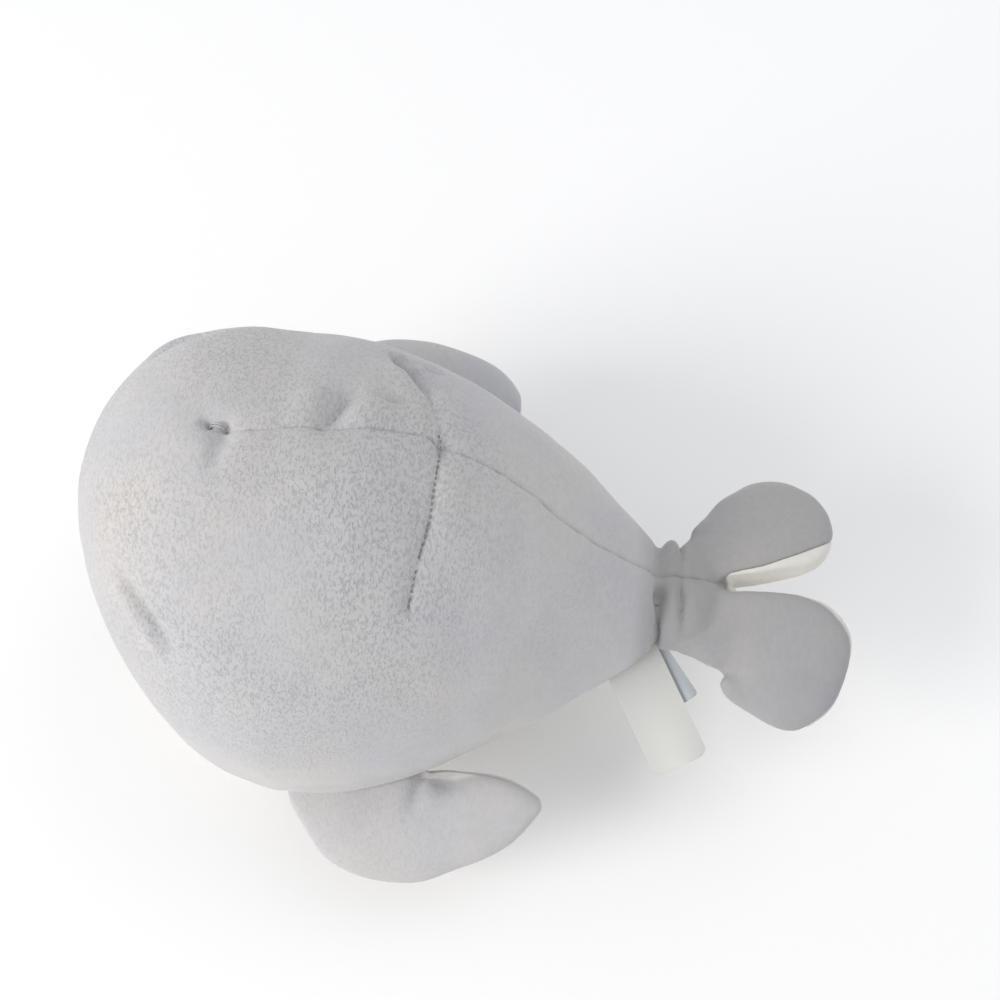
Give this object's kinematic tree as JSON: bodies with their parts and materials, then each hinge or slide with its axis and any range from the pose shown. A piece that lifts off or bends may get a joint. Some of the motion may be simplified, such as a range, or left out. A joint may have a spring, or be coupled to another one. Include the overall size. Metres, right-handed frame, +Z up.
{
  "type": "plush whale",
  "caption": "Round stuffed toy whale with a pale grey back, cream underside, side flippers, a two-lobed tail fluke and sewn-in satin labels.",
  "frame": {"origin": "middle of the flat rest patch on the belly, below the widest section of the body", "axes": "+X toward the tail, +Y toward the whale's right side, +Z up through the back"},
  "size_m": [0.2763, 0.2076, 0.1506],
  "materials": {
    "grey_plush": "short-pile plush, pale grey",
    "cream_plush": "short-pile plush, cream",
    "filling": "loose polyester fibre",
    "eye_thread": "satin-stitched embroidery thread",
    "white_satin": "white satin ribbon, bare",
    "blue_satin": "pale blue satin ribbon, bare"
  },
  "bodies": {
    "body": {"left_side_panel": "grey_plush", "right_side_panel": "grey_plush", "belly_panel": "cream_plush", "body_stuffing": "filling", "left_eye": "eye_thread", "right_eye": "eye_thread", "care_label": "white_satin", "size_label": "blue_satin"},
    "left_flipper": {"left_flipper_top_panel": "grey_plush", "left_flipper_bottom_panel": "cream_plush", "left_flipper_stuffing": "filling"},
    "right_flipper": {"right_flipper_top_panel": "grey_plush", "right_flipper_bottom_panel": "cream_plush", "right_flipper_stuffing": "filling"},
    "fluke": {"fluke_top_panel_left": "grey_plush", "fluke_top_panel_right": "grey_plush", "fluke_bottom_panel": "cream_plush", "fluke_stuffing": "filling"}
  },
  "joints": [
    {"name": "left_flipper_flap", "type": "hinge", "parent": "body", "child": "left_flipper", "pos_m": [0.02725, -0.075, 0.03972], "axis": [0.9737, 0.2013, 0.107], "range_deg": [-60, 24]},
    {"name": "right_flipper_flap", "type": "hinge", "parent": "body", "child": "right_flipper", "pos_m": [0.01225, 0.08121, 0.05557], "axis": [0.9903, -0.1224, 0.0651], "range_deg": [-54, 32]},
    {"name": "fluke_bend", "type": "hinge", "parent": "body", "child": "fluke", "pos_m": [0.1325, 0, 0.069], "axis": [-0.1305, 0.9914, 0], "range_deg": [-28, 12]}
  ]
}
